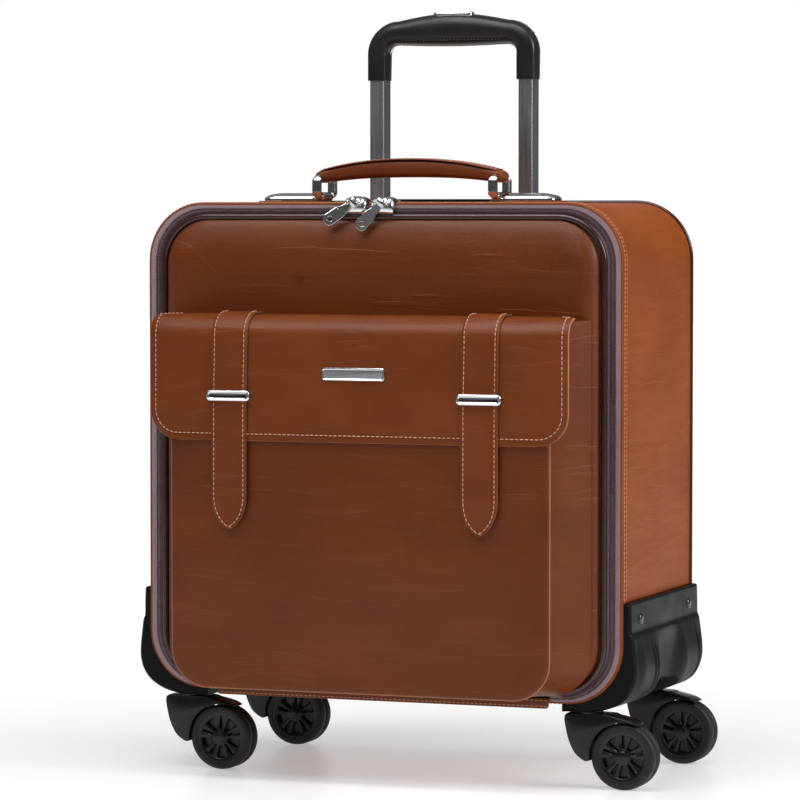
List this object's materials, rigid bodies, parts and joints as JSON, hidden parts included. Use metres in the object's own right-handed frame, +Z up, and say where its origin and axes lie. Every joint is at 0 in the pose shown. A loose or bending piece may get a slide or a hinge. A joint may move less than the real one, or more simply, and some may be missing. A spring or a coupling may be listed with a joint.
{
  "type": "rolling flight case",
  "caption": "Upright leather wheeled flight case with a zipped front lid, buckled front pocket, carry handle, telescopic trolley and swivelling twin-wheel casters.",
  "frame": {"origin": "centre of the whole object in plan, on the floor under the wheels", "axes": "+X to the right seen from the front, +Y from the front lid towards the back panel, +Z up"},
  "size_m": [0.4344, 0.248, 0.613],
  "materials": {
    "case_leather": "semi-gloss grained cowhide, cognac brown",
    "front_leather": "semi-gloss grained cowhide, cognac brown",
    "piping": "glossy dark brown piping",
    "zip_tape": "woven zip tape and coil",
    "lining": "plain woven lining",
    "board": "pressed fibreboard",
    "black_plastic": "satin black moulded plastic",
    "wheel_rubber": "satin black moulded wheel",
    "steel": "zinc-plated steel",
    "tube_aluminium": "satin anodised tube",
    "chrome": "polished chrome plate"
  },
  "bodies": {
    "root": {"side_wall": "case_leather", "back_panel": "case_leather", "rear_piping": "piping", "front_border": "case_leather", "frame_board": "board", "case_lining": "lining", "rear_divider": "board", "body_zip_tape": "zip_tape", "hinge_strip": "case_leather", "corner_guard_left": "black_plastic", "corner_guard_right": "black_plastic", "guard_rivets": "steel", "caster_bearings": "steel", "trolley_outer_tubes": "tube_aluminium", "trolley_top_plate": "black_plastic", "trolley_foot": "black_plastic", "anchor_pads": "front_leather", "anchor_plates": "chrome"},
    "lid": {"lid_panel": "front_leather", "lid_piping": "piping", "lid_zip_tape": "zip_tape", "lid_lining": "lining", "pocket_gusset": "front_leather", "pocket_panel": "front_leather", "snap_sockets": "chrome"},
    "flap": {"flap": "front_leather", "strap_left": "front_leather", "strap_right": "front_leather", "strap_keepers": "chrome", "badge": "chrome", "snap_studs": "chrome"},
    "slider_left": {"zip_slider_left": "chrome"},
    "slider_right": {"zip_slider_right": "chrome"},
    "pull_left": {"zip_pull_left": "chrome"},
    "pull_right": {"zip_pull_right": "chrome"},
    "ring_left": {"carry_ring_left": "chrome"},
    "ring_right": {"carry_ring_right": "chrome"},
    "carry_handle": {"carry_grip": "front_leather"},
    "trolley_middle": {"trolley_middle_tubes": "tube_aluminium"},
    "trolley_handle": {"trolley_inner_tubes": "tube_aluminium", "grip_front_shell": "black_plastic", "grip_rear_shell": "black_plastic"},
    "button": {"release_button": "chrome", "push_rods": "steel"},
    "caster_front_left": {"fork_front_left": "black_plastic", "axle_front_left": "steel"},
    "wheel_front_left_outer_body": {"wheel_front_left_outer": "wheel_rubber"},
    "wheel_front_left_inner_body": {"wheel_front_left_inner": "wheel_rubber"},
    "caster_front_right": {"fork_front_right": "black_plastic", "axle_front_right": "steel"},
    "wheel_front_right_outer_body": {"wheel_front_right_outer": "wheel_rubber"},
    "wheel_front_right_inner_body": {"wheel_front_right_inner": "wheel_rubber"},
    "caster_rear_left": {"fork_rear_left": "black_plastic", "axle_rear_left": "steel"},
    "wheel_rear_left_outer_body": {"wheel_rear_left_outer": "wheel_rubber"},
    "wheel_rear_left_inner_body": {"wheel_rear_left_inner": "wheel_rubber"},
    "caster_rear_right": {"fork_rear_right": "black_plastic", "axle_rear_right": "steel"},
    "wheel_rear_right_outer_body": {"wheel_rear_right_outer": "wheel_rubber"},
    "wheel_rear_right_inner_body": {"wheel_rear_right_inner": "wheel_rubber"}
  },
  "joints": [
    {"name": "lid_hinge", "type": "hinge", "parent": "root", "child": "lid", "pos_m": [-0.0073, -0.062, 0.064], "axis": [1, 0, 0], "range_deg": [0, 90]},
    {"name": "flap_hinge", "type": "hinge", "parent": "lid", "child": "flap", "pos_m": [-0.0073, -0.0762, 0.367], "axis": [-1, 0, 0], "range_deg": [0, 78]},
    {"name": "slider_left_travel", "type": "slide", "parent": "lid", "child": "slider_left", "axis": [-1, 0, 0], "range_m": [0, 0.11]},
    {"name": "slider_right_travel", "type": "slide", "parent": "lid", "child": "slider_right", "axis": [1, 0, 0], "range_m": [0, 0.125]},
    {"name": "pull_left_hinge", "type": "hinge", "parent": "slider_left", "child": "pull_left", "pos_m": [-0.0273, -0.07, 0.456], "axis": [-0.5736, 0, 0.8192], "range_deg": [0, 100]},
    {"name": "pull_right_hinge", "type": "hinge", "parent": "slider_right", "child": "pull_right", "pos_m": [-0.0043, -0.07, 0.456], "axis": [-0.766, 0, 0.6428], "range_deg": [0, 100]},
    {"name": "ring_left_hinge", "type": "hinge", "parent": "root", "child": "ring_left", "pos_m": [-0.0823, 0.006, 0.4606], "axis": [0, 1, 0], "range_deg": [-45, 45]},
    {"name": "carry_grip_hinge", "type": "hinge", "parent": "ring_left", "child": "carry_handle", "pos_m": [-0.0823, 0.006, 0.4766], "axis": [0, 1, 0], "range_deg": [-45, 45]},
    {"name": "ring_right_hinge", "type": "hinge", "parent": "root", "child": "ring_right", "pos_m": [0.0677, 0.006, 0.4606], "axis": [0, 1, 0], "range_deg": [-45, 45]},
    {"name": "trolley_middle_slide", "type": "slide", "parent": "root", "child": "trolley_middle", "axis": [0, 0, 1], "range_m": [0, 0.27]},
    {"name": "trolley_handle_slide", "type": "slide", "parent": "trolley_middle", "child": "trolley_handle", "axis": [0, 0, 1], "range_m": [-0.097, 0.165]},
    {"name": "button_press", "type": "slide", "parent": "trolley_handle", "child": "button", "axis": [0, 0, -1], "range_m": [0, 0.004], "stiffness_N_per_m": 600, "springref_m": -0.003},
    {"name": "swivel_front_left", "type": "hinge", "parent": "root", "child": "caster_front_left", "pos_m": [-0.1768, -0.049, 0.0593], "axis": [0, 0, 1], "continuous": true},
    {"name": "spin_front_left_outer", "type": "hinge", "parent": "caster_front_left", "child": "wheel_front_left_outer_body", "pos_m": [-0.1478, -0.05445, 0.026], "axis": [0, 1, 0], "continuous": true},
    {"name": "spin_front_left_inner", "type": "hinge", "parent": "caster_front_left", "child": "wheel_front_left_inner_body", "pos_m": [-0.1478, -0.04355, 0.026], "axis": [0, 1, 0], "continuous": true},
    {"name": "swivel_front_right", "type": "hinge", "parent": "root", "child": "caster_front_right", "pos_m": [0.1622, -0.049, 0.0593], "axis": [0, 0, 1], "continuous": true},
    {"name": "spin_front_right_outer", "type": "hinge", "parent": "caster_front_right", "child": "wheel_front_right_outer_body", "pos_m": [0.1912, -0.05445, 0.026], "axis": [0, 1, 0], "continuous": true},
    {"name": "spin_front_right_inner", "type": "hinge", "parent": "caster_front_right", "child": "wheel_front_right_inner_body", "pos_m": [0.1912, -0.04355, 0.026], "axis": [0, 1, 0], "continuous": true},
    {"name": "swivel_rear_left", "type": "hinge", "parent": "root", "child": "caster_rear_left", "pos_m": [-0.1768, 0.111, 0.0593], "axis": [0, 0, 1], "continuous": true},
    {"name": "spin_rear_left_outer", "type": "hinge", "parent": "caster_rear_left", "child": "wheel_rear_left_outer_body", "pos_m": [-0.1478, 0.10555, 0.026], "axis": [0, 1, 0], "continuous": true},
    {"name": "spin_rear_left_inner", "type": "hinge", "parent": "caster_rear_left", "child": "wheel_rear_left_inner_body", "pos_m": [-0.1478, 0.11645, 0.026], "axis": [0, 1, 0], "continuous": true},
    {"name": "swivel_rear_right", "type": "hinge", "parent": "root", "child": "caster_rear_right", "pos_m": [0.1622, 0.111, 0.0593], "axis": [0, 0, 1], "continuous": true},
    {"name": "spin_rear_right_outer", "type": "hinge", "parent": "caster_rear_right", "child": "wheel_rear_right_outer_body", "pos_m": [0.1912, 0.10555, 0.026], "axis": [0, 1, 0], "continuous": true},
    {"name": "spin_rear_right_inner", "type": "hinge", "parent": "caster_rear_right", "child": "wheel_rear_right_inner_body", "pos_m": [0.1912, 0.11645, 0.026], "axis": [0, 1, 0], "continuous": true}
  ],
  "couplings": [
    {"joint": "carry_grip_hinge", "follows": "ring_left_hinge", "ratio": -1},
    {"joint": "ring_right_hinge", "follows": "ring_left_hinge", "ratio": 1}
  ]
}
